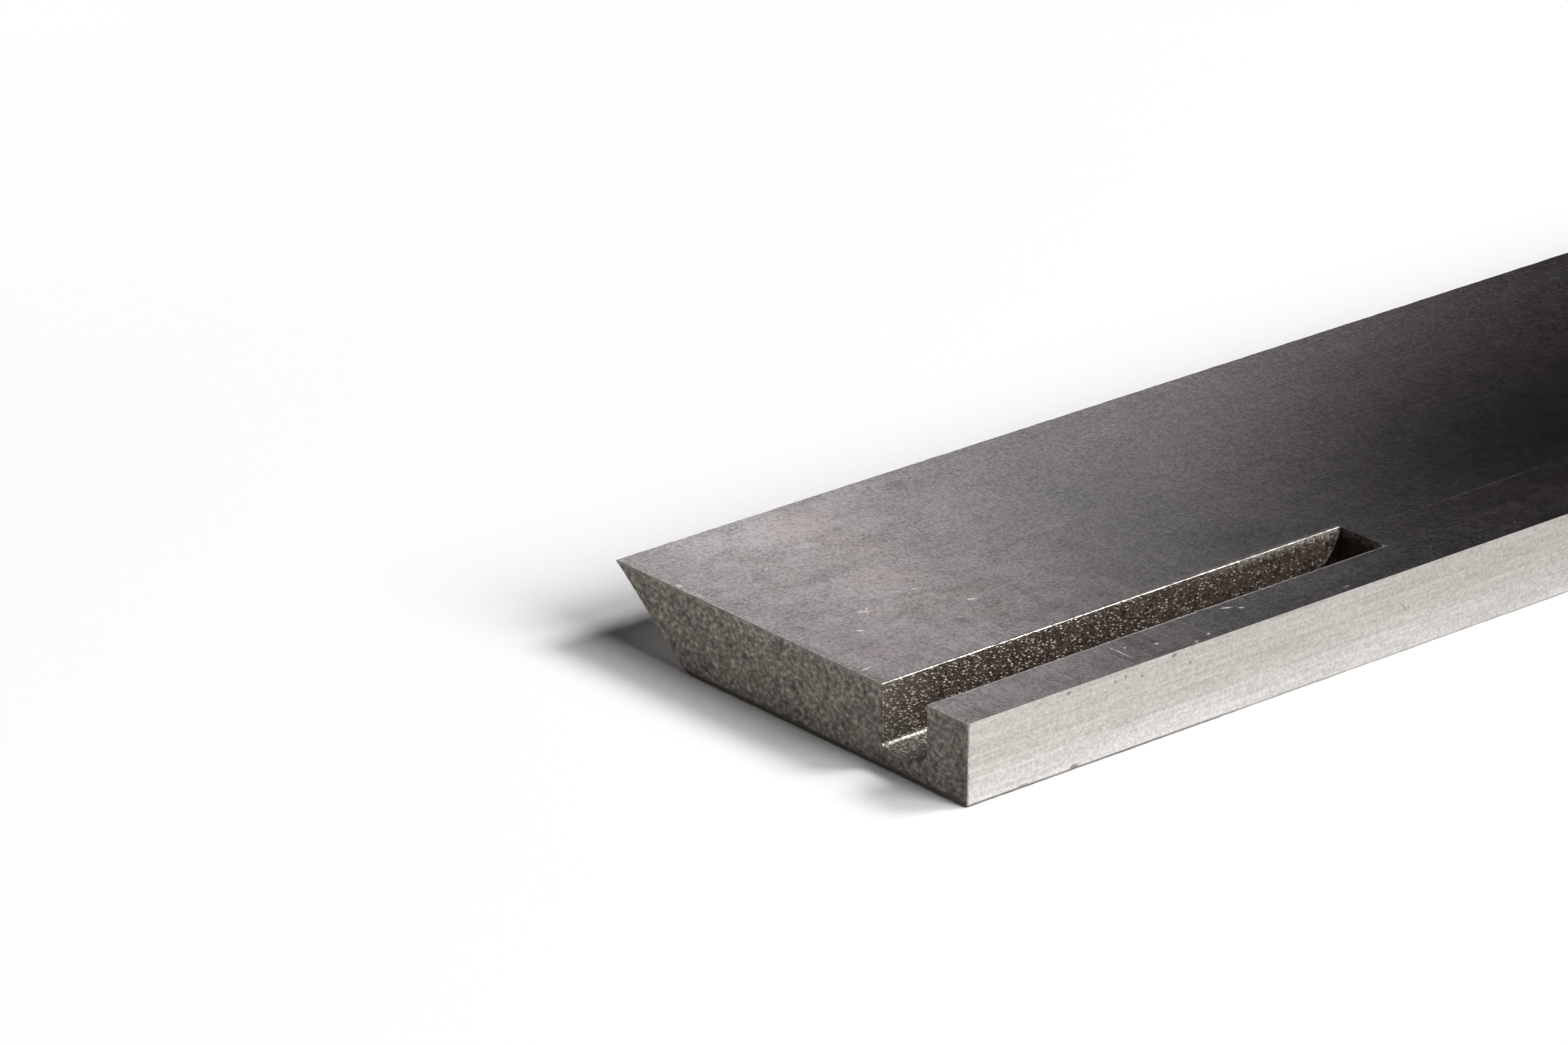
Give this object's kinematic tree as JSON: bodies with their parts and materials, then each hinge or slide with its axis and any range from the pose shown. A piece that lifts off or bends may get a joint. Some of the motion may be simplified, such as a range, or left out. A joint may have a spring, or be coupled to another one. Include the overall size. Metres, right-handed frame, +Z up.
{
  "type": "planer knife",
  "caption": "Straight ground planer knife: a flat steel bar with a long bevelled cutting edge and a milled setting slot at each end, beside the back edge.",
  "frame": {"origin": "middle of the knife's footprint, on the plane of its underside, where it rests", "axes": "+X along the knife, +Y towards the cutting edge, +Z up out of the slotted face"},
  "size_m": [0.2032, 0.019, 0.0032],
  "materials": {
    "ground_steel": "ground tool steel, satin, with light brown staining"
  },
  "bodies": {
    "root": {"planer_knife": "ground_steel"}
  },
  "joints": []
}
